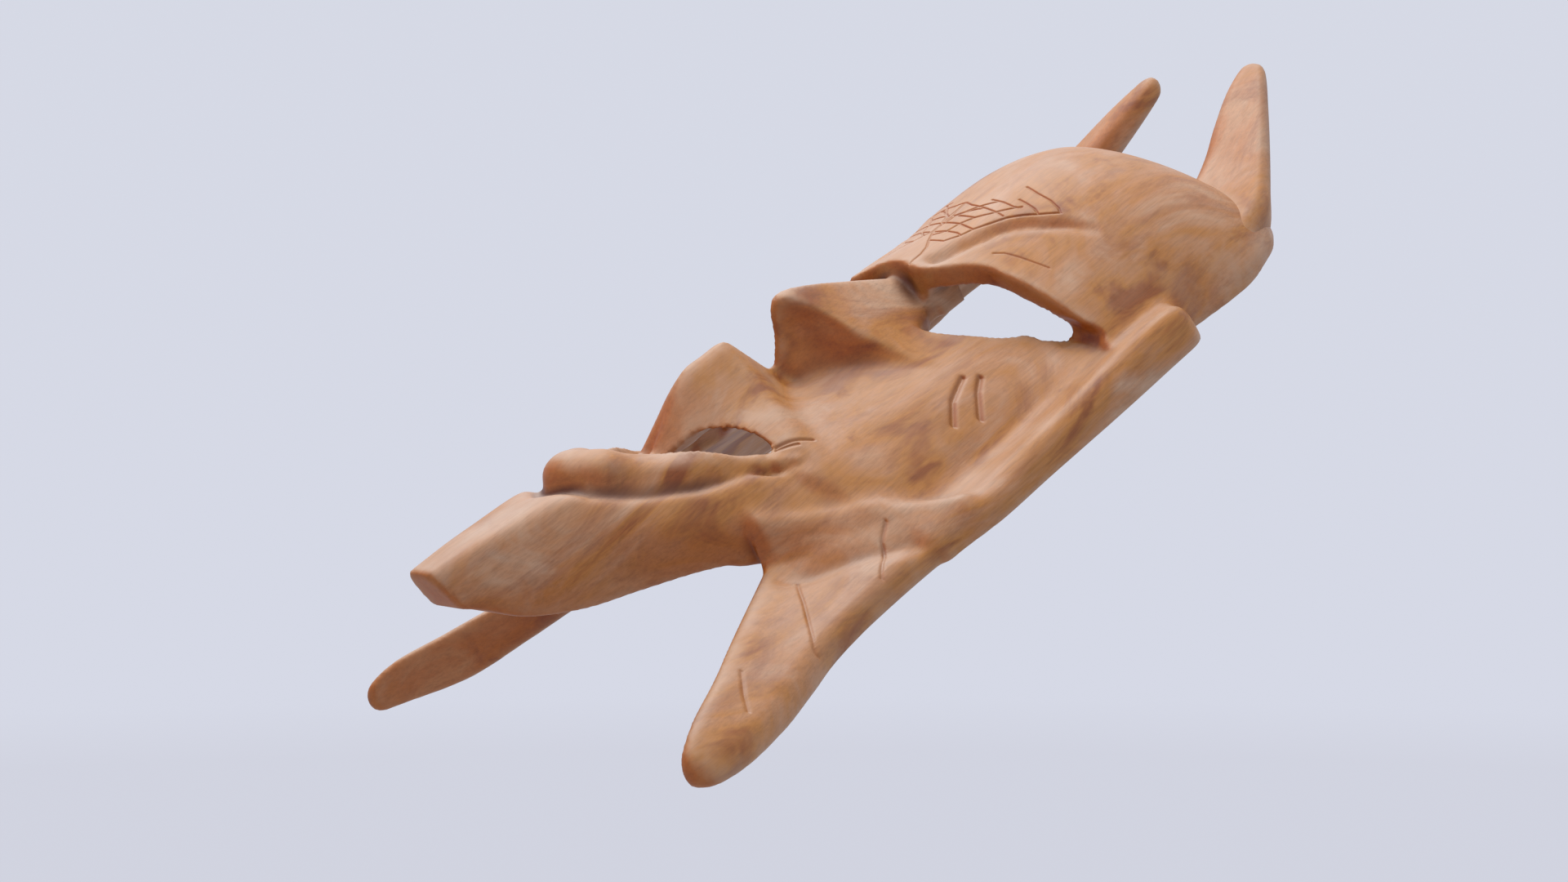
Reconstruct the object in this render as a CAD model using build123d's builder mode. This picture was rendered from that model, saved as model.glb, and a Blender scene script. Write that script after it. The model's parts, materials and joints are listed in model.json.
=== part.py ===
"""A horned, bearded wooden wall mask with its horns and jaw tusks pegged on.

Row frame, millimetres: the flat back of the mask lies in the plane Y = 0 and rests on the wall,
the face looks along -Y, +Z runs up the face, and the origin is the centre of the hanger's nail hole.
"""

import math
import os

from build123d import *

# ---- Driving dimensions -------------------------------------------------------------------------
# Heights are measured from the nail hole, depths from the back plane, widths from the centre line.
CROWN_TOP = 14.0  # flat seat of the horns

# Outside of the face, from the jaw to the crown: height, half width, depth of the side wall,
# depth over the cheek or brow, and depth on the centre line.
FACE_LEVELS = [
    (-298.0, 55.0, 24.0, 44.0, 62.0),
    (-266.0, 77.0, 20.0, 46.0, 66.0),
    (-229.0, 93.0, 13.0, 44.0, 68.0),
    (-184.0, 92.0, 13.0, 42.0, 66.0),
    (-142.0, 92.0, 13.0, 43.0, 64.0),
    (-96.0, 90.0, 14.0, 57.0, 77.0),
    (-54.0, 92.0, 12.0, 57.0, 78.0),
    (-20.0, 93.0, 12.0, 52.0, 73.0),
    (CROWN_TOP, 84.0, 12.0, 36.0, 48.0),
]
CHEEK_SHARE = 0.56  # where the cheek point lies, as a share of the half width

# The hollow back, in the same terms: the wood round it is about 10 mm thick.
HOLLOW_LEVELS = [
    (-316.0, 24.0, 6.0, 26.0, 40.0),
    (-284.0, 36.0, 6.0, 30.0, 48.0),
    (-249.0, 56.0, 6.0, 32.0, 52.0),
    (-224.0, 76.0, 5.0, 33.0, 54.0),
    (-194.0, 86.0, 5.0, 31.0, 54.0),
    (-144.0, 86.0, 5.0, 31.0, 51.0),
    (-120.0, 84.0, 5.0, 34.0, 52.0),
    (-98.0, 82.0, 6.0, 46.0, 63.0),
    (-54.0, 84.0, 5.0, 46.0, 65.0),
    (-26.0, 84.0, 4.0, 40.0, 58.0),
    (-14.0, 80.0, 4.0, 34.0, 50.0),
]

# Trapezoid sections: height, half width at the front, half width at the back, front and back depth.
BEARD_LEVELS = [
    (-280.0, 22.0, 48.0, 70.0, 30.0),
    (-306.0, 22.0, 46.0, 84.0, 28.0),
    (-344.0, 15.0, 34.0, 89.0, 40.0),
    (-379.0, 11.0, 22.0, 92.0, 54.0),
    (-407.0, 7.0, 13.0, 93.0, 72.0),
]
LOWER_LIP_LEVELS = [
    (-336.0, 15.0, 30.0, 86.0, 60.0),
    (-328.0, 16.0, 34.0, 94.0, 60.0),
    (-310.0, 16.0, 38.0, 93.0, 56.0),
    (-294.0, 14.0, 40.0, 80.0, 52.0),
]
UPPER_LIP_LEVELS = [
    (-288.0, 8.0, 38.0, 76.0, 46.0),
    (-278.0, 8.0, 40.0, 83.0, 46.0),
    (-258.0, 7.0, 38.0, 94.0, 46.0),
    (-236.0, 5.0, 32.0, 94.0, 46.0),
    (-222.0, 6.0, 24.0, 76.0, 46.0),
]
NOSE_LEVELS = [
    (-136.0, 8.0, 12.0, 72.0, 45.0),
    (-166.0, 9.0, 17.0, 84.0, 45.0),
    (-194.0, 11.0, 24.0, 95.0, 45.0),
    (-210.0, 12.0, 29.0, 98.0, 45.0),
    (-219.0, 10.0, 27.0, 86.0, 45.0),
]

# Ear bar along each side of the face: its outline from the front, and its depth at both ends.
EAR_OUTLINE = [
    (78.0, -86.0),
    (88.0, -72.0),
    (100.0, -76.0),
    (101.0, -104.0),
    (97.0, -229.0),
    (86.0, -219.0),
]
EAR_DEPTH_TOP, EAR_DEPTH_BOTTOM = 21.0, 18.0

# Eye socket under the brow and the opening through it, seen from the front.
SOCKET_FLOOR_INNER = (12.0, 54.0)  # half width and depth where the socket's floor starts
SOCKET_FLOOR_OUTER = (82.0, 31.0)
SOCKET_OUTLINE = [
    (13.0, -136.0),
    (46.0, -114.0),
    (80.0, -114.0),
    (80.0, -122.0),
    (62.0, -138.0),
    (20.0, -158.0),
]
EYE_LOWER_EDGE = [(20.0, -153.0), (69.0, -132.0)]
EYE_ARCH = [(27.0, -135.0), (44.0, -121.0), (61.0, -121.0)]

# Furrow over the eyelid, from the bridge of the nose to the temple: half width, depth, height.
FURROW_PATH = [(16.0, 78.0, -122.0), (32.0, 71.0, -104.0), (52.0, 57.0, -94.0), (72.0, 38.0, -92.0)]
FURROW_RADIUS = 5.0

# Mouth: one opening on each side of the web that joins the lips on the centre line.
MOUTH_LOWER = [(8.0, -297.0), (26.0, -288.0), (40.0, -265.0)]
MOUTH_UPPER = [(8.0, -290.0), (18.0, -272.0), (40.0, -265.0)]

# Scars on each cheek: middle of the cut, and the depth of its bottom.
SCARS = [(55.0, -166.0, 37.0), (64.0, -170.0, 31.0)]
SCAR_LENGTH, SCAR_WIDTH = 26.0, 2.4

# Tusks: the glue plane runs from the crotch at the beard to the foot of the ear bar.
CROTCH = (50.0, -298.0)
EAR_FOOT = (96.0, -230.0)
# Height, inner and outer edge, and depths: front at the inner and outer edge, and back.
TUSK_LEVELS = [
    (-218.0, 20.0, 96.0, 34.0, 13.0, 0.0),
    (-298.0, 50.0, 96.0, 32.0, 14.0, 0.0),
    (-334.0, 74.0, 104.0, 31.0, 14.0, 0.0),
    (-368.0, 92.0, 114.0, 29.0, 16.0, 3.0),
    (-398.0, 105.0, 119.0, 27.0, 18.0, 7.0),
    (-406.0, 110.0, 118.0, 24.0, 17.0, 10.0),
]
# Three slanting cuts on each tusk's face: place, depth of the cut's bottom, height and slant.
TUSK_CUTS = [
    (84.0, 20.0, -264.0, 35.0),
    (84.0, 21.0, -306.0, 30.0),
    (98.0, 20.0, -350.0, 25.0),
]
TUSK_CUT_LENGTH, TUSK_CUT_WIDTH = 30.0, 1.6

# Horns: height, centre, depth, width, thickness from front to back, and chamfer of the long edges.
HORN_LEVELS = [
    (CROWN_TOP, 58.0, 20.0, 36.0, 25.0, 6.0),
    (28.0, 57.0, 25.0, 29.0, 22.0, 5.0),
    (48.0, 51.0, 35.0, 24.0, 18.0, 4.0),
    (74.0, 42.0, 48.0, 18.0, 14.0, 3.5),
    (93.0, 34.0, 55.0, 11.0, 9.0, 2.0),
]

# Pegs that hold the horns and the tusks.
PEG_RADIUS = 4.0
PEG_GAP = 0.05  # glue line round a peg, on the radius
PEG_HALF = 16.0  # depth of a peg on each side of its joint
PEG_END_GAP = 1.0
TUSK_PEG_DEPTH = 10.5

# Hanger: a steel strap let in flush with the back, with a nail hole and two countersunk screws.
PLATE_LENGTH, PLATE_WIDTH, PLATE_THICK = 42.0, 15.0, 1.2
PLATE_GAP = 0.05
NAIL_HOLE_RADIUS = 4.0
NAIL_POCKET_RADIUS, NAIL_POCKET_DEPTH = 6.5, 12.0
SCREW_SPACING = 28.0
SCREW_HEAD_RADIUS, SCREW_HEAD_DEPTH = 2.6, 1.2
SCREW_SHANK_RADIUS, SCREW_LENGTH = 1.4, 14.0
SCREW_SLOT_WIDTH, SCREW_SLOT_DEPTH = 0.7, 0.6
SCREW_GAP = 0.05

SIDES = (("right", 1), ("left", -1))  # as seen from the front, +X to the right


def face_section(z, half, side, cheek, middle):
    """A closed section of the face: a straight back, two side walls and a domed front."""
    with BuildSketch(Plane.XY.offset(z)) as section:
        with BuildLine():
            Spline(
                (half, -side),
                (half * CHEEK_SHARE, -cheek),
                (0, -middle),
                (-half * CHEEK_SHARE, -cheek),
                (-half, -side),
            )
            Polyline((-half, -side), (-half, 0), (half, 0), (half, -side))
        make_face()
    return section.sketch


def trapezoid(z, front_half, back_half, front, back):
    """A closed section of the beard, a lip or the nose: a narrow front and a broad back."""
    with BuildSketch(Plane.XY.offset(z)) as section:
        with BuildLine():
            Polyline(
                (front_half, -front),
                (-front_half, -front),
                (-back_half, -back),
                (back_half, -back),
                close=True,
            )
        make_face()
    return section.sketch


def ruled_body(levels):
    """A body with flat facets through a list of trapezoid sections."""
    with BuildPart() as body:
        for level in levels:
            add(trapezoid(*level))
        loft(ruled=True)
    return body.part


def upright(points, sign=1):
    """Front-view points on one side of the face, for a sketch that faces -Y."""
    return [(sign * x, z) for x, z in points]


def joint_plane(sign):
    """The glue plane of one tusk: its normal points down and outwards, into the tusk."""
    run = (EAR_FOOT[0] - CROTCH[0], EAR_FOOT[1] - CROTCH[1])
    length = math.hypot(*run)
    middle = ((EAR_FOOT[0] + CROTCH[0]) / 2, (EAR_FOOT[1] + CROTCH[1]) / 2)
    return Plane(
        origin=(sign * middle[0], -TUSK_PEG_DEPTH, middle[1]),
        x_dir=(sign * run[0] / length, 0, run[1] / length),
        z_dir=(sign * run[1] / length, 0, -run[0] / length),
    )


def horn_plane(sign):
    """The seat of one horn, on the crown's flat top."""
    _, across, depth, _, _, _ = HORN_LEVELS[0]
    return Plane(origin=(sign * across, -depth, CROWN_TOP), z_dir=(0, 0, 1))


def dowel(plane):
    """One round peg, half on each side of its joint."""
    with BuildPart() as made:
        with BuildSketch(plane.offset(-PEG_HALF)):
            Circle(PEG_RADIUS)
        extrude(amount=2 * PEG_HALF)
        chamfer(made.edges().filter_by(GeomType.CIRCLE), 0.8)
    return made.part


def dowel_hole(plane):
    """The room for a peg, in both of the pieces that it joins."""
    reach = PEG_HALF + PEG_END_GAP
    with BuildPart() as made:
        with BuildSketch(plane.offset(-reach)):
            Circle(PEG_RADIUS + PEG_GAP)
        extrude(amount=2 * reach)
    return made.part


def both_sides(tool):
    """Cuts a tool and its mirror image out of the part under construction."""
    add(tool, mode=Mode.SUBTRACT)
    add(mirror(tool, about=Plane.YZ), mode=Mode.SUBTRACT)


# ---- Tools for the openings in the face ---------------------------------------------------------
with BuildPart() as hollow:
    for level in HOLLOW_LEVELS:
        add(face_section(*level))
    loft()

# Eye socket: a pocket whose floor turns back towards the temple, leaving the brow as a shelf.
floor_run = SOCKET_FLOOR_OUTER[0] - SOCKET_FLOOR_INNER[0]
floor_fall = SOCKET_FLOOR_INNER[1] - SOCKET_FLOOR_OUTER[1]
floor_length = math.hypot(floor_run, floor_fall)
socket_plane = Plane(
    origin=(SOCKET_FLOOR_INNER[0], -SOCKET_FLOOR_INNER[1], 0),
    x_dir=(floor_run / floor_length, floor_fall / floor_length, 0),
    z_dir=(floor_fall / floor_length, -floor_run / floor_length, 0),
)
with BuildPart() as socket:
    with BuildSketch(socket_plane):
        with BuildLine():
            stretch = floor_length / floor_run
            Polyline(
                *[((x - SOCKET_FLOOR_INNER[0]) * stretch, z) for x, z in SOCKET_OUTLINE],
                close=True,
            )
        make_face()
    extrude(amount=60)

with BuildPart() as eye:
    with BuildSketch(Plane.XZ):
        with BuildLine():
            Line(*upright(EYE_LOWER_EDGE))
            Spline(EYE_LOWER_EDGE[0], *upright(EYE_ARCH), EYE_LOWER_EDGE[1])
        make_face()
    extrude(amount=90)

with BuildPart() as mouth:
    with BuildSketch(Plane.XZ):
        with BuildLine():
            Spline(*upright(MOUTH_LOWER))
            Spline(*upright(MOUTH_UPPER))
            Line(MOUTH_LOWER[0], MOUTH_UPPER[0])
        make_face()
    extrude(amount=110)

# Eyelid furrow: a round-bottomed cut that follows the front of the brow.
with BuildPart() as furrow:
    with BuildLine() as furrow_line:
        Spline(*[(x, -depth, z) for x, depth, z in FURROW_PATH])
    with BuildSketch(Plane(origin=furrow_line.line @ 0, z_dir=furrow_line.line % 0)):
        Circle(FURROW_RADIUS)
    sweep(path=furrow_line.line)

with BuildPart() as scars:
    for x, z, bottom in SCARS:
        with BuildSketch(Plane.XZ.offset(bottom)):
            with Locations((x, z)):
                SlotOverall(SCAR_LENGTH, SCAR_WIDTH, rotation=78)
        extrude(amount=30)

with BuildPart() as ear_bar:
    with BuildSketch(Plane.XZ):
        with BuildLine():
            Polyline(*EAR_OUTLINE, close=True)
        make_face()
    extrude(amount=EAR_DEPTH_TOP)
    with BuildSketch(Plane.YZ.offset(60)):
        with BuildLine():
            Polyline(
                (-EAR_DEPTH_TOP, EAR_OUTLINE[1][1]),
                (-EAR_DEPTH_TOP - 1, EAR_OUTLINE[4][1] - 1),
                (-EAR_DEPTH_BOTTOM, EAR_OUTLINE[4][1] - 1),
                close=True,
            )
        make_face()
    extrude(amount=50, mode=Mode.SUBTRACT)

# What the tusks take the place of, outside the glue plane.
with BuildPart() as jaw_trim:
    with BuildSketch(Plane.XZ):
        with BuildLine():
            Polyline(
                CROTCH,
                EAR_FOOT,
                (EAR_FOOT[0] + 30, EAR_FOOT[1]),
                (EAR_FOOT[0] + 30, CROTCH[1] - 10),
                (CROTCH[0], CROTCH[1] - 10),
                close=True,
            )
        make_face()
    extrude(amount=70)

# ---- Hanger -------------------------------------------------------------------------------------
with BuildPart() as hanger_plate:
    with BuildSketch(Plane.XZ):
        SlotOverall(PLATE_LENGTH, PLATE_WIDTH)
        Circle(NAIL_HOLE_RADIUS, mode=Mode.SUBTRACT)
        with GridLocations(SCREW_SPACING, 0, 2, 1):
            Circle(SCREW_HEAD_RADIUS + SCREW_GAP, mode=Mode.SUBTRACT)
    extrude(amount=PLATE_THICK)
hanger_plate.part.label = "hanger_plate"
os.makedirs("parts", exist_ok=True)
export_step(hanger_plate.part, "parts/hanger_plate.step")

with BuildPart() as hanger_room:
    with BuildSketch(Plane.XZ):
        SlotOverall(PLATE_LENGTH + 2 * PLATE_GAP, PLATE_WIDTH + 2 * PLATE_GAP)
    extrude(amount=PLATE_THICK)
    with BuildSketch(Plane.XZ):
        Circle(NAIL_POCKET_RADIUS)
    extrude(amount=NAIL_POCKET_DEPTH)
    with BuildSketch(Plane.XZ):
        with GridLocations(SCREW_SPACING, 0, 2, 1):
            Circle(SCREW_SHANK_RADIUS + SCREW_GAP)
    extrude(amount=SCREW_LENGTH + PEG_END_GAP)

for side, sign in SIDES:
    at = sign * SCREW_SPACING / 2
    with BuildPart() as hanger_screw:
        with BuildSketch(Plane.XZ):
            with Locations((at, 0)):
                Circle(SCREW_HEAD_RADIUS)
        extrude(amount=SCREW_HEAD_DEPTH)
        with BuildSketch(Plane.XZ):
            with Locations((at, 0)):
                Circle(SCREW_SHANK_RADIUS)
        extrude(amount=SCREW_LENGTH)
        with BuildSketch(Plane.XZ):
            with Locations((at, 0)):
                Rectangle(2 * SCREW_HEAD_RADIUS - 1.2, SCREW_SLOT_WIDTH)
        extrude(amount=SCREW_SLOT_DEPTH, mode=Mode.SUBTRACT)
    hanger_screw.part.label = f"hanger_screw_{side}"
    export_step(hanger_screw.part, f"parts/hanger_screw_{side}.step")

# ---- Face ---------------------------------------------------------------------------------------
with BuildPart() as face_shell:
    for level in FACE_LEVELS:
        add(face_section(*level))
    loft()
    for levels in (BEARD_LEVELS, LOWER_LIP_LEVELS, UPPER_LIP_LEVELS, NOSE_LEVELS):
        add(ruled_body(levels))
    add(ear_bar.part)
    add(mirror(ear_bar.part, about=Plane.YZ))
    add(hollow.part, mode=Mode.SUBTRACT)
    both_sides(socket.part)
    both_sides(eye.part)
    both_sides(mouth.part)
    both_sides(jaw_trim.part)
    both_sides(furrow.part)
    both_sides(scars.part)
    for _, sign in SIDES:
        add(dowel_hole(joint_plane(sign)), mode=Mode.SUBTRACT)
        add(dowel_hole(horn_plane(sign)), mode=Mode.SUBTRACT)
    add(hanger_room.part, mode=Mode.SUBTRACT)
face_shell.part.label = "face_shell"
export_step(face_shell.part, "parts/face_shell.step")

# ---- Horns, tusks and their pegs ----------------------------------------------------------------
for side, sign in SIDES:
    with BuildPart() as horn:
        for z, across, depth, width, thick, corner in HORN_LEVELS:
            with BuildSketch(Plane.XY.offset(z)) as section:
                with Locations((sign * across, -depth)):
                    Rectangle(width, thick)
                chamfer(section.vertices(), corner)
        loft(ruled=True)
        add(dowel_hole(horn_plane(sign)), mode=Mode.SUBTRACT)
    horn.part.label = f"horn_{side}"
    export_step(horn.part, f"parts/horn_{side}.step")

    with BuildPart() as tusk:
        for z, inner, outer, front_inner, front_outer, back in TUSK_LEVELS:
            with BuildSketch(Plane.XY.offset(z)):
                with BuildLine():
                    Polyline(
                        (sign * inner, -back),
                        (sign * outer, -back),
                        (sign * outer, -front_outer),
                        (sign * (inner * 0.7 + outer * 0.3), -front_inner),
                        (sign * inner, -front_inner * 0.75),
                        close=True,
                    )
                make_face()
        loft(ruled=True)
        split(bisect_by=joint_plane(sign), keep=Keep.TOP)
        add(dowel_hole(joint_plane(sign)), mode=Mode.SUBTRACT)
        for x, depth, z, turn in TUSK_CUTS:
            face = Plane(origin=(sign * x, -depth, z), z_dir=(sign * 0.45, -0.89, 0))
            with BuildSketch(face):
                SlotOverall(TUSK_CUT_LENGTH, TUSK_CUT_WIDTH, rotation=90 + sign * turn)
            extrude(amount=20, mode=Mode.SUBTRACT)
    tusk.part.label = f"tusk_{side}"
    export_step(tusk.part, f"parts/tusk_{side}.step")

    horn_peg = dowel(horn_plane(sign))
    horn_peg.label = f"horn_peg_{side}"
    export_step(horn_peg, f"parts/horn_peg_{side}.step")
    tusk_peg = dowel(joint_plane(sign))
    tusk_peg.label = f"tusk_peg_{side}"
    export_step(tusk_peg, f"parts/tusk_peg_{side}.step")
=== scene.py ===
"""A horned, bearded wooden wall mask, carved as solid fields and finished in oiled-wood materials.

The carving is worked out in millimetres in the row frame: x to the side, depth d out from the wall
(minus Y) and height z above the hanger's nail hole. Each piece is a field that is negative inside
the wood, and its mesh is the field's zero surface. The fields take x as a distance from the centre
line, so each shape is given once and stands on both sides.
"""

import json
import math

import bmesh
import bpy
import numpy as np
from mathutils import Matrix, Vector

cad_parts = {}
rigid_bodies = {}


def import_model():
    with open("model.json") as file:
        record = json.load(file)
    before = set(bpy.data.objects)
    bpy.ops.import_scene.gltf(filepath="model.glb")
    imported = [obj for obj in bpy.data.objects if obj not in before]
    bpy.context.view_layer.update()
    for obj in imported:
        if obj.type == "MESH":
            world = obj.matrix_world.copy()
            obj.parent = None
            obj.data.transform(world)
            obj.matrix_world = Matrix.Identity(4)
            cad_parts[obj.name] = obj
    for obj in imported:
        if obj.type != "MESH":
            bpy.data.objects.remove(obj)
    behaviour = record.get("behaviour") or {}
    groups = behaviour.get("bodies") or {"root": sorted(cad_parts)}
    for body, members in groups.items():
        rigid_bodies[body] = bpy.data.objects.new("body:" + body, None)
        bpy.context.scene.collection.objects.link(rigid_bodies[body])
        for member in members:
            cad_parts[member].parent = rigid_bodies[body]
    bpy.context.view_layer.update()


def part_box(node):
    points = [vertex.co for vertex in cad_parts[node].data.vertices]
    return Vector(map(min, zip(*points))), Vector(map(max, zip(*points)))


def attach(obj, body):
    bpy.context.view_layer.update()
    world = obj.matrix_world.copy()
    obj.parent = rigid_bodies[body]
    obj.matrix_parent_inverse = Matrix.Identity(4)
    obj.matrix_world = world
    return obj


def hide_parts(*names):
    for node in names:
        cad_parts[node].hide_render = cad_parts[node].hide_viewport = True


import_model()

import openvdb
from mathutils import Matrix, Vector

MM = 0.001  # metres in a millimetre
VOXEL = 1.3  # spacing of the carving grids


# ---- Sizes from the frame -----------------------------------------------------------------------
def corners(node):
    """Low and high corner of a CAD node's box, in millimetres."""
    return [np.array(corner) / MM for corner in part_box(node)]


CHIN = corners("face_shell")[0][2]  # the beard's lowest point
HORN_TIP = corners("horn_right")[1][2]
TUSK_TIP, TUSK_TOP = (corner[2] for corner in corners("tusk_right"))
CROTCH = (50.0, TUSK_TIP + 108.5)  # where beard and tusk part, seen from the front
EAR_FOOT = (96.0, TUSK_TOP)  # where the glue line leaves the rim


# ---- Curves and blends --------------------------------------------------------------------------
def bend(s, step, start, end, start_slope, end_slope):
    """The value a share s along a smooth stretch between two knots that are a step apart."""
    rise = s * s * (3 - 2 * s)
    return (
        start * (1 - rise)
        + end * rise
        + start_slope * step * s * (1 - s) ** 2
        - end_slope * step * s * s * (1 - s)
    )


def curve(t, points):
    """A smooth curve through (place, value) pairs in rising order, flat beyond both ends."""
    knots, values = (np.array(c, float) for c in zip(*points))
    slopes = np.gradient(values, knots)
    t = np.clip(t, knots[0], knots[-1])
    i = np.clip(np.searchsorted(knots, t, side="right") - 1, 0, len(knots) - 2)
    step = knots[i + 1] - knots[i]
    s = (t - knots[i]) / step
    return bend(s, step, values[i], values[i + 1], slopes[i], slopes[i + 1])


def net(x, z, columns, rows):
    """A smooth surface through depths given on rows of rising height, one depth per column."""
    heights = sorted(rows)
    strips = [curve(z, [(h, rows[h][i]) for h in heights]) for i in range(len(columns))]
    knots = np.array(columns, float)
    values = np.stack(np.broadcast_arrays(*strips))
    slopes = np.gradient(values, knots, axis=0)
    out = np.zeros(np.broadcast_shapes(x.shape, z.shape))
    for i in range(len(columns) - 1):
        step = knots[i + 1] - knots[i]
        s = np.clip((x - knots[i]) / step, 0, 1)
        piece = bend(s, step, values[i], values[i + 1], slopes[i], slopes[i + 1])
        last = i == len(columns) - 2
        out = np.where((x >= knots[i]) & ((x < knots[i + 1]) | last), piece, out)
    return out


def join(a, b, k):
    """Union of two fields with a fillet of about k."""
    h = np.clip(0.5 + 0.5 * (b - a) / k, 0, 1)
    return b * (1 - h) + a * h - k * h * (1 - h)


def meet(a, b, k):
    """Intersection of two fields with their edge rounded by about k."""
    return -join(-a, -b, k)


def cut(a, tool, k):
    """a with the tool taken out of it, the rim rounded by about k."""
    return meet(a, -tool, k)


def true_distance(f, step):
    """The field scaled to measure real distance near its surface."""
    gx, gy, gz = np.gradient(f, step)
    return f / np.maximum(np.sqrt(gx * gx + gy * gy + gz * gz), 1e-3)


def behind(d, depth, step):
    """Wood behind a surface of that depth over the front view."""
    gx, gz = np.gradient(depth[:, 0, :], step)
    return (d - depth) / np.sqrt(1 + np.minimum(gx * gx + gz * gz, 6))[:, None, :]


def rod(x, d, z, stations, k=3.0):
    """A rounded rod through (x, depth, height, radius) stations."""
    out = None
    for (ax, ad, az, ar), (bx, bd, bz, br) in zip(stations, stations[1:]):
        ux, ud, uz = bx - ax, bd - ad, bz - az
        t = ((x - ax) * ux + (d - ad) * ud + (z - az) * uz) / (ux * ux + ud * ud + uz * uz)
        t = np.clip(t, 0, 1)
        away = np.sqrt((x - ax - t * ux) ** 2 + (d - ad - t * ud) ** 2 + (z - az - t * uz) ** 2)
        piece = away - (ar + t * (br - ar))
        out = piece if out is None else join(out, piece, k)
    return out


def off_line(x, z, start, end):
    """Distance from a straight line between two points of the front view."""
    (ax, az), (bx, bz) = start, end
    ux, uz = bx - ax, bz - az
    t = np.clip(((x - ax) * ux + (z - az) * uz) / (ux * ux + uz * uz), 0, 1)
    return np.hypot(x - ax - t * ux, z - az - t * uz)


def trace(x, z, points, width):
    """One along a line drawn over the front view, fading to nothing away from it."""
    away = 1e3
    for start, end in zip(points, points[1:]):
        away = np.minimum(away, off_line(x, z, start, end))
    return np.exp(-((away / width) ** 2))


def plane(x, d, z, point, normal):
    """Distance in front of a plane, positive on the side that the normal points to."""
    n = np.array(normal, float)
    n /= np.linalg.norm(n)
    return (x - point[0]) * n[0] + (d - point[1]) * n[1] + (z - point[2]) * n[2]


def smoothed(f, passes):
    """The field averaged with its neighbours a few times over."""
    for _ in range(passes):
        for axis in range(3):
            f = (f + np.roll(f, 1, axis) + np.roll(f, -1, axis)) / 3
    return f


class Block:
    """The grid that one piece is carved on."""

    def __init__(self, low, high):
        self.low, self.step = np.array(low, float), VOXEL
        count = [int(math.ceil((b - a) / VOXEL)) + 1 for a, b in zip(low, high)]
        axes = [a + VOXEL * np.arange(n) for a, n in zip(low, count)]
        self.x = axes[0][:, None, None]
        self.d = -axes[1][None, :, None]
        self.z = axes[2][None, None, :]

    def places(self):
        """Distance from the centre line, depth and height of the grid's points."""
        return np.abs(self.x), self.d, self.z

    def sample(self, f, points):
        """The field's value at points given in millimetres."""
        p = (points - self.low) / self.step
        i = np.clip(np.floor(p).astype(int), 0, np.array(f.shape) - 2)
        t = p - i
        out = 0
        for corner in np.ndindex(2, 2, 2):
            w = np.prod(np.where(corner, t, 1 - t), axis=1)
            out = out + w * f[tuple((i + corner).T)]
        return out

    def surface(self, field):
        """Vertices in millimetres and faces of the field's zero surface."""
        field = np.ascontiguousarray(field, dtype=np.float32)
        for axis in range(3):
            ends = np.swapaxes(field, 0, axis)
            ends[[0, -1]] = np.maximum(ends[[0, -1]], self.step)
        grid = openvdb.FloatGrid(self.step * 3)
        grid.copyFromArray(field)
        points, triangles, quads = grid.convertToPolygons(isovalue=0.0, adaptivity=0.0)
        faces = [tuple(f) for f in triangles.tolist() + quads.tolist()]
        return points * self.step + self.low, faces


# ---- Measures of the face -----------------------------------------------------------------------
# Dome of the forehead: depth on the centre line and half width, by height, its top, and the
# powers that round its level sections across and in depth.
DOME_DEPTH = [(-152, 78), (-140, 77.5), (-128, 77), (-108, 76.5), (-82, 78), (-44, 77),
              (-24, 73), (-13, 69), (-3, 62), (6, 53), (14, 42), (20, 28), (25, 8)]
DOME_HALF = [(-150, 92), (-104, 90), (-66, 88), (-44, 92), (-27, 94), (-9, 92), (4, 88),
             (14, 79), (22, 60), (26, 34)]
DOME_TOP = 26
ROUND_ACROSS, ROUND_DEEP = 1.8, 1.5
# Edge of the brow over the eye: height, by half width.
SHELF = [(0, -138), (8, -139), (14, -141), (20, -141), (26, -137), (31, -131.5),
         (37.5, -126), (47, -122.7), (58, -120.3), (70, -118), (80, -116.5), (96, -113)]
# Cheeks and jaw: depth at these half widths, by height, the half width of the rim, and the
# heights between which they reach.
CHEEK_COLUMNS = [0, 12, 25, 40, 55, 68, 78, 86, 96]
CHEEK_ROWS = {
    -330: [50, 48, 38, 22, 10, 4, 2, 0, 0],
    -312: [64, 62, 54, 40, 24, 14, 8, 4, 2],
    -290: [70, 69, 64, 52, 31, 20, 14, 8, 4],
    -270: [70, 69, 65, 54, 41, 26, 17, 11, 6],
    -250: [67, 67, 63, 55, 45, 32, 21, 14, 8],
    -225: [62, 62, 59, 52, 42, 30, 18, 13, 9],
    -200: [59, 59, 56, 49, 40, 28, 16, 12, 10],
    -175: [56, 56, 54, 47, 38, 26, 15, 12, 10],
    -150: [54, 54, 52, 45, 35, 25, 17, 13, 11],
    -130: [53, 52, 49, 41, 32, 25, 20, 15, 12],
    -110: [53, 52, 48, 40, 31, 25, 20, 15, 12],
}
RIM_HALF = [(-330, 40), (-298, 54), (-262, 80), (-228, 97), (-180, 96), (-90, 92), (-76, 88)]
CHEEK_TOP, JAW_FOOT = -106, -304
# Upper facet of the upper lip: a point of it, and its normal.
LIP_TOP, LIP_TOP_NORMAL = (0, 95, -236), (0.60, 0.42, 0.68)
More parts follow.
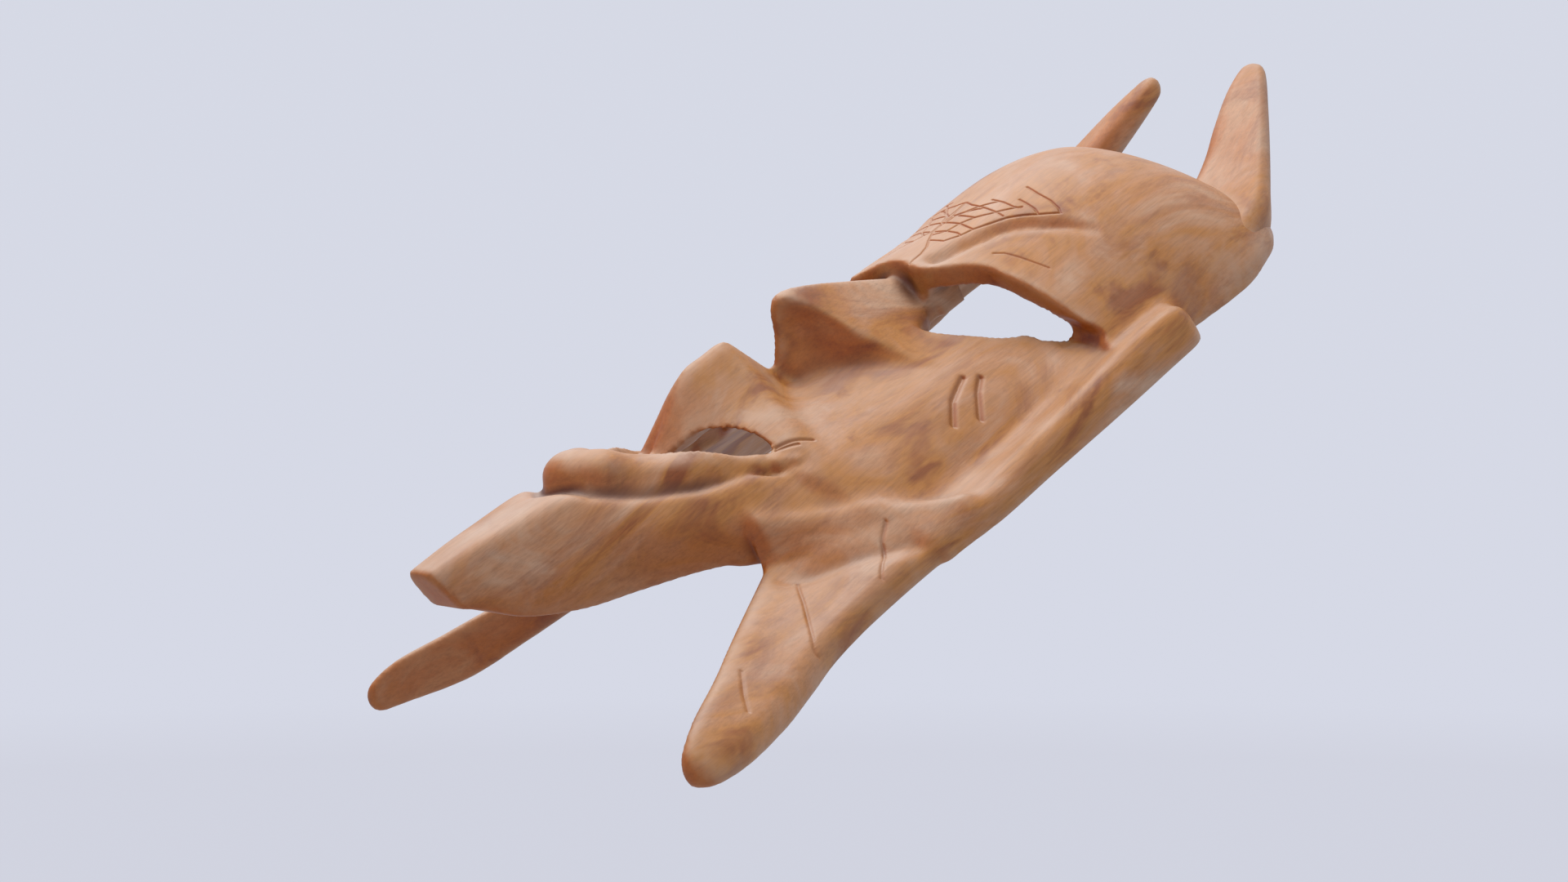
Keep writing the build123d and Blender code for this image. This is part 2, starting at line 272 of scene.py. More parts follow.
# Beard, by height: depth and half width of its front, then of its back edge.
BEARD_FRONT = [(CHIN, 93.5), (-385, 93), (-370, 92), (-342, 89), (-326, 84), (-300, 80)]
BEARD_FRONT_HALF = [(CHIN, 6), (-379, 9), (-344, 13), (-306, 18), (-280, 20)]
BEARD_BACK = [(CHIN, 76), (-399, 73), (-384, 60), (-364, 50), (-340, 43), (-317, 37),
              (-295, 29), (-280, 22)]
BEARD_BACK_HALF = [(CHIN, 10), (-399, 12), (-384, 18), (-364, 25), (-340, 31), (-317, 40),
                   (-295, 50), (-280, 56)]
# Tusk, by height: half width of its inner and outer edges.
TUSK_INNER = [(-406, 110), (-394, 105), (-365, 90), (-334, 72), (-317, 62), (-297.5, 50.5),
              (-250, 40), (-220, 36)]
TUSK_OUTER = [(-406, 117), (-395, 119), (-362, 113), (-335, 104), (-323, 100), (-303, 96.5),
              (-284, 95.5), (-250, 96), (-228, 97)]
# The hollow back: the wood left in front of it, and the heights between which it reaches.
WALL = 11
HOLLOW_TOP, HOLLOW_FOOT = -13, -316

# Lines worked into the face, seen from the front: half width and height.
FURROW = [(19, -131), (21, -124), (22.5, -116), (25, -108), (28, -99), (31.5, -93),
          (36.5, -87), (42, -82), (48, -77), (56, -71)]
LIP_GROOVE = [(0, -345), (5, -343), (17, -335), (26, -319), (33, -302), (37, -290),
              (39.5, -281), (42, -273), (44.5, -266), (48, -258)]
FURROW_WIDTH = GROOVE_WIDTH = 3.4
# Soft ridge along the jaw, from the crotch to the foot of the ear bar, and the hollow below it.
JAW_RIDGE = [(54, -293), (64, -274), (76, -253), (84, -239), (92, -228)]
RIDGE_FOOT = [(66, -302), (73, -289), (80, -276), (86, -266), (90, -258)]
RIDGE_WIDTH = 5.0


# ---- Parts of the face --------------------------------------------------------------------------
def dome_depth(x, z):
    """Depth of the forehead over a point of the front view."""
    u = np.clip(x / curve(z, DOME_HALF), 0, 1)
    return curve(z, DOME_DEPTH) * (1 - u ** ROUND_ACROSS) ** (1 / ROUND_DEEP)


def dome(x, d, z, step):
    """Forehead and crown, drawn in a little towards the flat back at the top."""
    tuck = curve(z, [(-60, 0), (-30, 2), (-9, 6), (14, 9)]) * np.clip(1 - d / 13, 0, 1) ** 2
    f = (x / (curve(z, DOME_HALF) - tuck)) ** ROUND_ACROSS
    f = f + (np.maximum(d, 0) / curve(z, DOME_DEPTH)) ** ROUND_DEEP - 1
    return meet(true_distance(f, step), z - DOME_TOP, 4)


def cheeks(x, d, z, step):
    """Cheeks and jaw, out to the rim."""
    cheek = behind(d, net(x, z, CHEEK_COLUMNS, CHEEK_ROWS), step)
    cheek = meet(cheek, x - curve(z, RIM_HALF), 5)
    cheek = meet(cheek, z - CHEEK_TOP, 5)
    return meet(cheek, JAW_FOOT - z, 6)


def ear_bar(x, d, z, step):
    """The bar down each side, its front face higher on the outside, its upper end rounded off."""
    depth = curve(z, [(-240, 11), (-228, 13), (-160, 18), (-90, 21), (-76, 20)])
    middle = curve(z, [(-240, 87), (-228, 87.5), (-160, 89), (-76, 88.5)])
    half = curve(z, [(-240, 9.5), (-228, 10), (-160, 11.5), (-76, 12)])
    across = (x - middle) / half
    front = depth * (0.93 + 0.15 * np.clip(across, -1, 1))
    bar = np.abs(across) ** 2.6 + (np.maximum(d, 0) / front) ** 2.3 - 1
    bar = true_distance(bar, step)
    bar = meet(bar, plane(x, d, z, (90, 10, -74), (0.25, 0.1, 1)), 9)
    return meet(bar, -z - 250, 4)


def nose(x, d, z):
    """A ridge with an upper facet, a lower facet and a scoop under the wing on each side."""
    ridge = curve(z, [(-222, 70), (-217.5, 80), (-210, 91.8), (-205, 95.5), (-198, 97),
                      (-189, 95), (-164, 83), (-136, 68.4), (-122, 62)])
    f = (d - ridge) * 0.9
    f = meet(f, plane(x, d, z, (2.5, 96, -198), (0.707, 0.645, 0.291)), 4)
    f = meet(f, plane(x, d, z, (0, 91.8, -210), (0.80, 0.235, -0.552)), 2.5)
    scoop = np.sqrt((x - 39.4) ** 2 + (d - 87.1) ** 2 + (z + 221.9) ** 2) - 40
    f = cut(f, scoop, 2.5)
    return meet(f, z + 118, 6)


def lip_depth(x, z):
    """Depth of the upper lip: two flanks running from the keel to the mouth's corners."""
    tip = 95
    keel = curve(z, [(-300, 68), (-289.5, 75.6), (-279, 83.5), (-270, 90), (-259, 94.8),
                     (-249, tip), (-236, 95.5), (-215, 96)])
    side = curve(x, [(0, tip), (4, 92), (7, 88), (18, 75), (30, 66), (42, 57), (55, 43),
                     (70, 24), (90, 0)])
    return side + (keel - tip) * (0.5 + 0.5 * np.exp(-x / 6))


def upper_lip(x, d, z, step):
    """A keel on the centre line whose flanks run out to the mouth's corners."""
    edge = curve(x, [(0, -312), (10, -308), (20, -300), (30, -288), (41, -275), (55, -262),
                     (70, -255)])
    lip = behind(d, lip_depth(x, z), step)
    lip = meet(lip, plane(x, d, z, LIP_TOP, LIP_TOP_NORMAL), 4)
    return meet(lip, edge - z, 5)


def lower_lip(x, d, z):
    """A roll that starts at the front and dies away behind the mouth's corners."""
    return rod(x, d, z, [(0, 84, -329, 13), (8, 79.5, -322, 12.5), (12.5, 73, -312.5, 11),
                         (26, 66.5, -298, 7.5), (31.5, 61.8, -287.2, 6), (35, 59, -279.3, 5),
                         (38.3, 57.5, -273, 4), (41.5, 54.8, -266.5, 3),
                         (45.3, 52.3, -259.5, 2)], 4)


def beard(x, d, z):
    """A long wedge with slightly full sides and a cut end, running up under the lower lip."""
    front, front_half = curve(z, BEARD_FRONT), curve(z, BEARD_FRONT_HALF)
    back, back_half = curve(z, BEARD_BACK), curve(z, BEARD_BACK_HALF)
    run = np.hypot(back_half - front_half, front - back)
    slope = ((x - front_half) * (front - back) + (d - front) * (back_half - front_half)) / run
    across = np.clip((front - d) / (front - back), 0, 1)
    bulge = curve(z, [(-385, 0), (-350, 3), (-325, 6), (-300, 6)]) * 4 * across * (1 - across)
    wedge = meet(d - front, slope - 2.5 - bulge, 6)
    wedge = meet(wedge, (back - d) * 0.85, 4)
    wedge = meet(wedge, plane(x, d, z, (0, 90, CHIN + 1.5), (0, -0.25, -0.97)), 2.5)
    return meet(wedge, z + curve(x, [(14, 297), (30, 281), (46, 270)]), 8)


def jaw_plane(x, z):
    """Distance outside the glue plane between the jaw and a tusk."""
    run = np.array([EAR_FOOT[0] - CROTCH[0], EAR_FOOT[1] - CROTCH[1]])
    run /= np.linalg.norm(run)
    return (x - CROTCH[0]) * run[1] - (z - CROTCH[1]) * run[0]


def tusk_field(x, d, z):
    """A tusk with a crest along its inner edge and a facet sloping down to its outer edge."""
    inner, outer = curve(z, TUSK_INNER), curve(z, TUSK_OUTER)
    crest = curve(z, [(-406, 21), (-394, 26), (-365, 28), (-295, 29), (-282, 28.5), (-257, 22),
                      (-244, 18), (-227, 12)])
    crest_x = np.maximum(inner, curve(z, [(-300, 48), (-289, 53), (-271, 67), (-257, 76),
                                          (-244, 85), (-227, 93)]))
    edge = curve(z, [(-406, 13), (-394, 12), (-362, 10), (-323, 10), (-284, 10), (-228, 8)])
    inner_back = curve(z, [(-406, 10), (-394, 8), (-365, 4), (-340, 8), (-310, 13), (-290, 14),
                           (-228, 6)])
    outer_back = curve(z, [(-406, 10), (-394, 7), (-362, 2), (-334, 0)])
    back = outer_back + (inner_back - outer_back) * np.clip((outer - x) / (outer - inner), 0, 1)
    run = np.hypot(outer - crest_x, crest - edge)
    front = ((x - crest_x) * (crest - edge) + (d - crest) * (outer - crest_x)) / run
    tusk = meet(front - 2.5, inner - x, 6)
    tusk = meet(tusk, x - outer, 5)
    tusk = meet(tusk, back - d, 5)
    tusk = meet(tusk, d - crest - 1.0, 5)
    tusk = meet(tusk, plane(x, d, z, (112, 16, -406), (0.35, 0, -0.94)), 8)
    return meet(tusk, -jaw_plane(x, z) - 8, 6)


def jaw_back(x, d, z):
    """What is cut away behind the jaw: the slope between the crotches, and the lift of its edge."""
    under = (z - CROTCH[1] - 0.685 * (CROTCH[0] - x)) * 0.8
    under = np.maximum(under, d - curve(z, BEARD_BACK) + 2)
    under = np.maximum(under, x - CROTCH[0])
    lifted = d - curve(z, [(-310, 13), (-296, 14), (-285, 6.5), (-275, 0), (-270, -2)])
    lifted = np.maximum(lifted, x - curve(z, TUSK_INNER) - 12)
    return under, np.maximum(lifted, JAW_FOOT - z)


def face_field(block):
    """The outside of the face and tusks."""
    x, d, z = block.places()
    step = block.step

    # The forehead ends in a shelf over the eyes, a little lower over the left one.
    droop = 7 * np.exp(-(((block.x + 22) / 14) ** 2))
    face = meet(dome(x, d, z, step), (curve(x, SHELF) - droop - z) * 0.95, 2.5)
    face = join(face, cheeks(x, d, z, step), 2.5)
    face = join(face, ear_bar(x, d, z, step), 7)

    # Furrow over each eyelid, fading towards the temple.
    fade = np.clip((61 - x) / 20, 0, 1)
    face = face + 3.4 * trace(x, z, FURROW, FURROW_WIDTH) * (d > 30) * fade

    face = join(face, nose(x, d, z), 6)
    face = join(face, upper_lip(x, d, z, step), 5)
    face = join(face, beard(x, d, z), 6)
    face = join(face, tusk_field(x, d, z), 4)

    # The sharp crotch between each tusk and the beard.
    notch = np.maximum(curve(z, BEARD_BACK_HALF) - x, x - curve(z, TUSK_INNER))
    notch = meet(notch, z - CROTCH[1], 1)
    face = cut(face, notch * 0.85, 2)

    # The ridge along the jaw, which dies away at the rim.
    swell = 2.8 * trace(x, z, JAW_RIDGE, RIDGE_WIDTH)
    swell = swell - 2.4 * trace(x, z, RIDGE_FOOT, RIDGE_WIDTH)
    face = face - swell * np.clip((d - 4) / 8, 0, 1)

    under, lifted = jaw_back(x, d, z)
    face = cut(face, under, 2.5)
    return cut(face, lifted, 4)


# ---- Openings of the face -----------------------------------------------------------------------
def hollow_back(x, d, z, step):
    """The hollow, which follows the face at an even thickness and runs out near the rim."""
    outer_end = curve(x, [(58, 0), (68, 13)])
    brow = np.clip((z - curve(x, SHELF) + 8 - outer_end) / 6, 0, 1)
    tilt_x, tilt_d, tilt_z = LIP_TOP_NORMAL
    lip_top = LIP_TOP[1] - (tilt_x * x + tilt_z * (z - LIP_TOP[2])) / tilt_d
    lip = np.minimum(lip_depth(x, z), lip_top)
    cheek = np.maximum(net(x, z, CHEEK_COLUMNS, CHEEK_ROWS), np.where(z > -302, lip, 0))
    inner = cheek * (1 - brow) + dome_depth(x, z) * brow - WALL
    half = curve(z, [(-318, 14), (-300, 28), (-280, 40), (-267, 48), (-250, 62), (-225, 80),
                     (-200, 87), (-150, 88), (-100, 87), (-63, 83), (-27, 88), (-12, 86)])
    hollow = behind(d, inner, step)
    hollow = meet(hollow, x - half, 8)
    hollow = meet(hollow, z - HOLLOW_TOP, 6)
    hollow = meet(hollow, HOLLOW_FOOT - z, 8)
    shallow = meet(meet(d - 7, x - half, 3), meet(z - HOLLOW_TOP, -z - 300, 3), 3)
    hollow = join(hollow, shallow, 3)
    # Wood left standing behind the root of the nose.
    root = np.maximum(x - 17, np.maximum(-160 - z, z + 122))
    return cut(hollow, np.maximum(root, 48 - d), 6)


def eye_opening(x, d, z):
    """An opening from the lower lid up to the brow's shelf."""
    lid = curve(x, [(18, -161), (27, -157), (36, -150), (44, -142.5), (55, -133), (64, -124),
                    (72, -116)])
    eye = meet(lid - z, z - curve(x, SHELF) - 4, 2)
    eye = meet(eye, plane(x, d, z, (19, 50, -150), (-1, 0.25, -0.35)), 6)
    eye = meet(eye, plane(x, d, z, (52.5, 30, -125), (1, 0.35, -0.3)), 4)
    front_of_brow = (d - dome_depth(x, z) + 11.5) * 0.8
    return meet(eye, np.minimum(z - curve(x, SHELF), front_of_brow), 2)


def mouth_opening(x, d, z):
    """An opening on each side of the web on the centre line, its upper edge cut thin."""
    top = curve(x, [(8, -296), (10, -292), (11.5, -286), (13, -280.5), (16, -275),
                    (20.5, -270.5), (26, -266.5), (32, -264.5), (40, -264.5)])
    bottom = curve(x, [(6, -303), (18, -298), (28, -287), (36, -273), (41, -266)])
    skin = curve(x, [(8, 72), (12, 75), (16, 73.5), (21, 71), (26, 68), (32, 64), (40, 57.5)])
    steep = curve(x, [(9, 5.5), (13, 5.4), (16, 4.6), (21, 3.4), (26, 2.9), (34, 2.2),
                      (40, 1.8)])
    inward = np.maximum(skin - d, 0)
    mouth = meet(bottom - z, (z - top - np.minimum(steep * inward, 30)) * 0.75, 1)
    mouth = meet(mouth, 9.5 - x - 2.2 * inward, 1.5)
    return meet(mouth, x - 37.5, 1)


def cut_openings(face, block):
    """The face with its hollow back, eyes and mouth opened and its lower lip laid on."""
    x, d, z = block.places()
    face = cut(face, hollow_back(x, d, z, block.step), 2.5)
    face = cut(face, eye_opening(x, d, z), 3)
    corner = rod(x, d, z, [(59, 34, -122, 5), (68, 29, -120, 5), (79, 25, -116, 3)])
    face = cut(face, corner, 3)
    face = cut(face, mouth_opening(x, d, z), 3)
    face = join(face, lower_lip(x, d, z), 3)
    # The groove under the lower lip stays on the front of the face.
    groove = 2.8 * np.clip((52 - x) / 15, 0.25, 1) * trace(x, z, LIP_GROOVE, GROOVE_WIDTH)
    return face + groove * (d > 42 - 0.22 * (z + 252))


# ---- The horns ----------------------------------------------------------------------------------
def horn_field(x, d, z):
    """A four-sided horn, broad in front and chamfered, leaning in and forwards to a blunt tip."""
    axis_x = curve(z, [(-10, 62), (10, 61), (28, 55), (48, 47.5), (74, 38), (96, 31)])
    axis_d = curve(z, [(-10, 14), (10, 20), (28, 27), (48, 36), (74, 47), (96, 55)])
    half = curve(z, [(-10, 23), (10, 21), (28, 18), (48, 15.5), (74, 11), (86, 8), (96, 4.5)])
    thick = curve(z, [(-10, 14), (10, 12), (28, 10), (48, 8.5), (74, 7), (96, 5)])
    across, through = x - axis_x, d - axis_d
    turn = math.radians(18)
    a = across * math.cos(turn) - through * math.sin(turn)
    b = across * math.sin(turn) + through * math.cos(turn)
    box = meet(np.abs(a) - half, np.abs(b) - thick, 4)
    chamfer = (np.abs(a) + np.abs(b)) * 0.707 - (half + thick) * 0.60
    horn = meet(box, chamfer, 2) * 0.85
    return meet(horn, plane(x, d, z, (33, 54, HORN_TIP + 3), (-0.25, 0.1, 0.96)), 8)


# ---- Engraved lines, seen from the front --------------------------------------------------------
def mirrored(lines):
    """The lines and their mirror images on the other side of the face."""
    return lines + [([(-x, z) for x, z in points], width, depth) for points, width, depth in lines]


HATCHING = [  # a leaf-shaped band of crossed strokes over each brow
    [(5, -118), (13, -117), (17, -110), (19, -104), (23, -97), (27, -90), (32, -84), (36, -80),
     (42, -73)],
    [(21, -66), (28, -68), (35, -69), (40, -71), (42, -73)],
    [(24, -76), (29, -77), (33, -78), (36, -80)],
    [(-10, -92), (-6, -89), (-3, -85)],
    [(-5, -100), (1, -97), (6, -93), (10, -88), (17, -81)],
    [(1, -103), (3, -96), (9, -91), (14, -88)],
    [(10, -102), (14, -96), (19, -91), (23, -86), (28, -80)],
    [(3, -113), (8, -109), (10, -102)],
    [(-8, -92), (1, -96), (7, -96), (14, -96)],
    [(-3, -85), (5, -87), (14, -88), (21, -89), (25, -90)],
    [(-5, -102), (1, -102), (10, -102), (14, -103), (19, -104)],
    [(2, -110), (7, -109), (14, -109), (17, -110)],
    [(13, -81), (19, -81), (25, -82), (28, -81)],
    [(-3, -104), (0, -110), (5, -118)],
]
CHEEK_CUTS = [
    [(54.5, -172), (57, -179), (59.5, -186), (66, -196)],
    [(58, -166), (61.5, -173), (69, -184)],
]
ENGRAVED = mirrored(  # points, width and depth; the hatching is kept off the centre line
    [([(max(x, 0.5), z) for x, z in stroke], 0.5, 0.55) for stroke in HATCHING]
    + [
        ([(5, -118), (9, -124), (11, -130), (12, -139)], 0.5, 0.5),  # from hatching to nose
        ([(37, -114), (40, -111), (45, -109), (51, -107), (56, -105)], 0.6, 0.4),  # lid crease
        ([(39, -262), (41, -255), (43.5, -247)], 0.7, 0.8),  # folds at the mouth's corner
        ([(39.5, -263), (43, -254)], 0.6, 0.7),
        ([(79, -257), (82, -265), (87, -271), (93, -280)], 0.8, 0.5),  # slanting cuts on the tusk
        ([(69, -300), (81, -309), (95, -321), (100, -326)], 0.8, 0.5),
        ([(95, -355), (103, -363), (109, -368)], 0.7, 0.45),
    ]
    + [(stroke, 1.1, 1.4) for stroke in CHEEK_CUTS]
)


# ---- Meshes -------------------------------------------------------------------------------------
def make_object(name, bm, recess_at):
    """A mesh object from a bmesh in millimetres, carrying how deep in a recess each vertex lies."""
    data = bpy.data.meshes.new(name)
    bm.to_mesh(data)
    bm.free()
    points = np.empty(len(data.vertices) * 3)
    data.vertices.foreach_get("co", points)
    recess = data.attributes.new("recess", "FLOAT", "POINT")
    recess.data.foreach_set("value", recess_at(points.reshape(-1, 3)))
    data.vertices.foreach_set("co", points * MM)
    data.polygons.foreach_set("use_smooth", [True] * len(data.polygons))
    data.update()
    made = bpy.data.objects.new(name, data)
    bpy.context.scene.collection.objects.link(made)
    return made


def build_bmesh(points, faces):
    """A bmesh from points and faces, leaving out any face that comes twice or is folded."""
    bm = bmesh.new()
    vertices = [bm.verts.new(p) for p in points.tolist()]
    for f in faces:
        try:
            bm.faces.new([vertices[i] for i in f])
        except ValueError:
            pass
    bm.verts.index_update()
    return bm


def recess_finder(block, field):
    """A function that tells how deep points lie in a recess: 1 in a hollow, -1 on a thin edge."""
    blur, full = 24, 2.0  # square millimetres of spread, and the blurred value of a full recess
    soft = smoothed(field.astype(np.float32), int(round(blur / VOXEL ** 2)) + 2)
    return lambda points: np.clip(-block.sample(soft, points) / full, -1, 1)


def engrave(bm, lines):
    """Cut thin V grooves along lines given over the front view: points, width and depth."""
    stretches = [(start, end, width, depth) for points, width, depth in lines
                 for start, end in zip(points, points[1:])]

    def groove(vertices):
        """How deep the groove is at each vertex, and its distance from the nearest line."""
        x, z = np.array([(v.co.x, v.co.z) for v in vertices]).T
        depth, near = np.zeros(len(x)), np.full(len(x), 1e3)
        for start, end, width, deepest in stretches:
            away = off_line(x, z, start, end)
            depth = np.maximum(depth, deepest * np.exp(-((away / width) ** 2)))
            near = np.minimum(near, away)
        return depth, near

    def on_front():
        return [v for v in bm.verts if v.co.y < -3 and v.normal.y < -0.15]

    # Two rounds of finer mesh along the lines, the second closer to them.
    bm.normal_update()
    for cuts, reach in ((2, 2.5), (1, 1.25)):
        candidates = on_front()
        _, near = groove(candidates)
        close = {v for v, away in zip(candidates, near) if away < reach}
        edges = [e for e in bm.edges if e.verts[0] in close and e.verts[1] in close]
        bmesh.ops.subdivide_edges(bm, edges=edges, cuts=cuts, use_grid_fill=True)
        bm.normal_update()

    carved = bm.verts.layers.float.new("carved")
    candidates = on_front()
    depth, _ = groove(candidates)
    moves = [(v, v.normal.copy(), deep) for v, deep in zip(candidates, depth) if deep > 0.01]
    for v, normal, deep in moves:
        v.co -= normal * deep
        v[carved] = min(deep / 0.6, 1.0)


def split_tusk(bm, side):
    """Cut the wood along a glue plane and hand back the tusk as a bmesh of its own."""
    run = Vector((EAR_FOOT[0] - CROTCH[0], 0, EAR_FOOT[1] - CROTCH[1])).normalized()
    out = Vector((run.z * side, 0, -run.x))
    at = Vector((CROTCH[0] * side, 0, CROTCH[1]))
    near = [f for f in bm.faces if f.calc_center_median().x * side > 40]
    geometry = set(near)
    for f in near:
        geometry.update(f.edges)
        geometry.update(f.verts)
    parted = bmesh.ops.bisect_plane(bm, geom=list(geometry), dist=0.0001, plane_co=at,
                                    plane_no=out)
    seam = {e for e in parted["geom_cut"] if isinstance(e, bmesh.types.BMEdge)}

    def from_tip(f):
        middle = f.calc_center_median()
        return -middle.x * side * 0.6 + middle.z

    # The tusk is every face that is reached from its tip without crossing the seam.
    tip = min(bm.faces, key=from_tip)
    tusk, queue = {tip}, [tip]
    while queue:
        for e in queue.pop().edges:
            if e in seam:
                continue
            for g in e.link_faces:
                if g not in tusk and (g.calc_center_median() - at).dot(out) > -0.01:
                    tusk.add(g)
                    queue.append(g)
    piece = bm.copy()
    piece.faces.ensure_lookup_table()
    bm.faces.index_update()
    taken = {f.index for f in tusk}
    bmesh.ops.delete(piece, geom=[f for f in piece.faces if f.index not in taken],
                     context="FACES")
    bmesh.ops.delete(bm, geom=list(tusk), context="FACES")

    # Both halves are closed with a flat face that keeps a sharp rim.
    for half in (piece, bm):
        rim = [e for e in half.edges if e.is_boundary]
        for e in rim:
            e.smooth = False
        bmesh.ops.holes_fill(half, edges=rim)
    return piece


# ---- Carving the pieces -------------------------------------------------------------------------
def carve_face():
    """The face and both tusks, carved as one block and parted along the glue planes."""
    block = Block([-124, -104, TUSK_TIP - 6], [124, 6, 32])
    whole = cut_openings(face_field(block), block)
    whole = meet(whole, -block.d, 2.5)
    recess_at = recess_finder(block, whole)
    face = build_bmesh(*block.surface(whole))
    engrave(face, ENGRAVED)
    tusks = [split_tusk(face, 1), split_tusk(face, -1)]
    return (
        make_object("carved_face", face, recess_at),
        make_object("carved_tusk_right", tusks[0], recess_at),
        make_object("carved_tusk_left", tusks[1], recess_at),
    )


def carve_horn(name, side):
    """A horn whose foot follows the crown, a little inside its surface."""
    inner, outer, sunk = side * 14, side * 96, 3.0
    block = Block([min(inner, outer), -76, -16], [max(inner, outer), 6, HORN_TIP + 6])
    x, d, z = block.places()
    horn = np.maximum(horn_field(x, d, z), -(dome(x, d, z, VOXEL) + sunk))
    horn = meet(horn, -d, 2)
    return make_object(name, build_bmesh(*block.surface(horn)), recess_finder(block, horn))


face, tusk_right, tusk_left = carve_face()
horn_right = carve_horn("carved_horn_right", 1)
horn_left = carve_horn("carved_horn_left", -1)

for made, nodes in (
    (face, ["face_shell"]),
    (tusk_right, ["tusk_right"]),
    (tusk_left, ["tusk_left"]),
    (horn_right, ["horn_right"]),
    (horn_left, ["horn_left"]),
):
    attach(made, "root")
    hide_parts(*nodes)


# ---- Materials ----------------------------------------------------------------------------------
class Nodes:
    """A small helper for wiring a node tree."""

    def __init__(self, tree):
        self.tree = tree

    def node(self, kind, **settings):
        made = self.tree.nodes.new(kind)
        for key, value in settings.items():
            setattr(made, key, value)
        return made

    def link(self, a, b):
        self.tree.links.new(a, b)

    def feed(self, socket, value):
        """Link an output to the socket, or set it to a constant."""
        if isinstance(value, bpy.types.NodeSocket):
            self.link(value, socket)
        else:
            socket.default_value = value

    def ramp(self, value, stops):
        """A value turned into a colour or a grey through (position, colour or grey) stops."""
        made = self.node("ShaderNodeValToRGB")
        ends = made.color_ramp.elements
        while len(ends) < len(stops):
            ends.new(0.5)
        for end, (position, colour) in zip(ends, stops):
            end.position = position
            end.color = (*colour, 1) if isinstance(colour, tuple) else (colour,) * 3 + (1,)
        self.link(value, made.inputs[0])
        return made.outputs[0]

    def math(self, operation, a, b=0.0, c=0.0):
        made = self.node("ShaderNodeMath", operation=operation)
        for socket, value in zip(made.inputs, (a, b, c)):
            self.feed(socket, value)
        return made.outputs[0]

    def times(self, a, b):
        return self.math("MULTIPLY", a, b)

    def toward(self, vector, direction):
        """How far a vector points in a fixed direction."""
        made = self.node("ShaderNodeVectorMath", operation="DOT_PRODUCT")
        self.link(vector, made.inputs[0])
        made.inputs[1].default_value = direction
        return made.outputs["Value"]


class Shading(Nodes):
    """A Principled material being wired."""

    def __init__(self, name):
        self.material = bpy.data.materials.new(name)
        self.material.use_nodes = True
        super().__init__(self.material.node_tree)
        self.tree.nodes.clear()
        output = self.node("ShaderNodeOutputMaterial")
        self.shader = self.node("ShaderNodeBsdfPrincipled")
        self.link(self.shader.outputs[0], output.inputs[0])

    def place(self, scale, turn=(0, 0, 0)):
        """The piece's own coordinates, turned and stretched."""
        coordinates = self.node("ShaderNodeTexCoord")
        mapping = self.node("ShaderNodeMapping")
        mapping.inputs["Rotation"].default_value = turn
        mapping.inputs["Scale"].default_value = scale
        self.link(coordinates.outputs["Object"], mapping.inputs["Vector"])
        return mapping.outputs[0]

    def noise(self, place, scale, detail, roughness, distortion=0.0):
        made = self.node("ShaderNodeTexNoise")
        self.link(place, made.inputs["Vector"])
        made.inputs["Scale"].default_value = scale
        made.inputs["Detail"].default_value = detail
        made.inputs["Roughness"].default_value = roughness
        made.inputs["Distortion"].default_value = distortion
        return made.outputs["Fac"]

    def mix(self, share, a, b, blend="MIX"):
        """Colour a with a share of colour b laid over it."""
        made = self.node("ShaderNodeMix", data_type="RGBA", blend_type=blend)
        self.feed(made.inputs[0], share)
        for socket, value in ((made.inputs[6], a), (made.inputs[7], b)):
            self.feed(socket, (*value, 1) if isinstance(value, tuple) else value)
        return made.outputs[2]

    def attribute(self, name):
        return self.node("ShaderNodeAttribute", attribute_name=name).outputs["Fac"]

    def bump(self, height, strength, distance, onto=None):
        """A surface normal disturbed by a height, on top of another one."""
        made = self.node("ShaderNodeBump")
        made.inputs["Strength"].default_value = strength
        made.inputs["Distance"].default_value = distance
        self.link(height, made.inputs["Height"])
        if onto is not None:
            self.link(onto, made.inputs["Normal"])
        return made.outputs[0]


PALE, TAN = (0.45, 0.280, 0.175), (0.40, 0.182, 0.075)
AMBER, BROWN = (0.39, 0.158, 0.034), (0.24, 0.072, 0.016)
# The second colour on the next line is the dark brown of the painted shade laid into recesses.
PURPLE, RECESS_SHADE = (0.23, 0.080, 0.034), (0.080, 0.020, 0.006)
# The pale tint of the painted sheen on faces turned towards the light.
SHEEN_TINT = (0.46, 0.325, 0.245)
UNDERSIDE_SHADE = (0.88, 0.52, 0.20)  # painted shade: what the colour is multiplied by on undersides, turned away from the light
FRONT = (0, -0.92, 0.30)  # the way that the faces with the most painted sheen look
DOWN = (0, 0, -1)


def wood_figure(m, slack, free, grain, paler):
    """Colour of clean wood: amber and brown bands, purple stains and fine grain."""
    bands = m.noise(slack, 30, 4, 0.6, 1.2)
    patches = m.noise(free, 11, 3, 0.5, 0.8)
    tone = m.math("ADD", m.times(bands, 0.80), m.times(patches, 0.36))
    tone = m.math("ADD", tone, paler - 0.08)
    colour = m.ramp(tone, [(0.36, BROWN), (0.44, AMBER), (0.53, TAN), (0.68, PALE)])
    stains = m.ramp(m.noise(slack, 26, 5, 0.65, 2.0), [(0.52, 0.0), (0.70, 0.65)])
    colour = m.mix(stains, colour, PURPLE)
    streaks = m.ramp(grain, [(0.36, 0.80), (0.52, 1.0), (0.68, 1.12)])
    return m.mix(1.0, colour, streaks, "MULTIPLY")


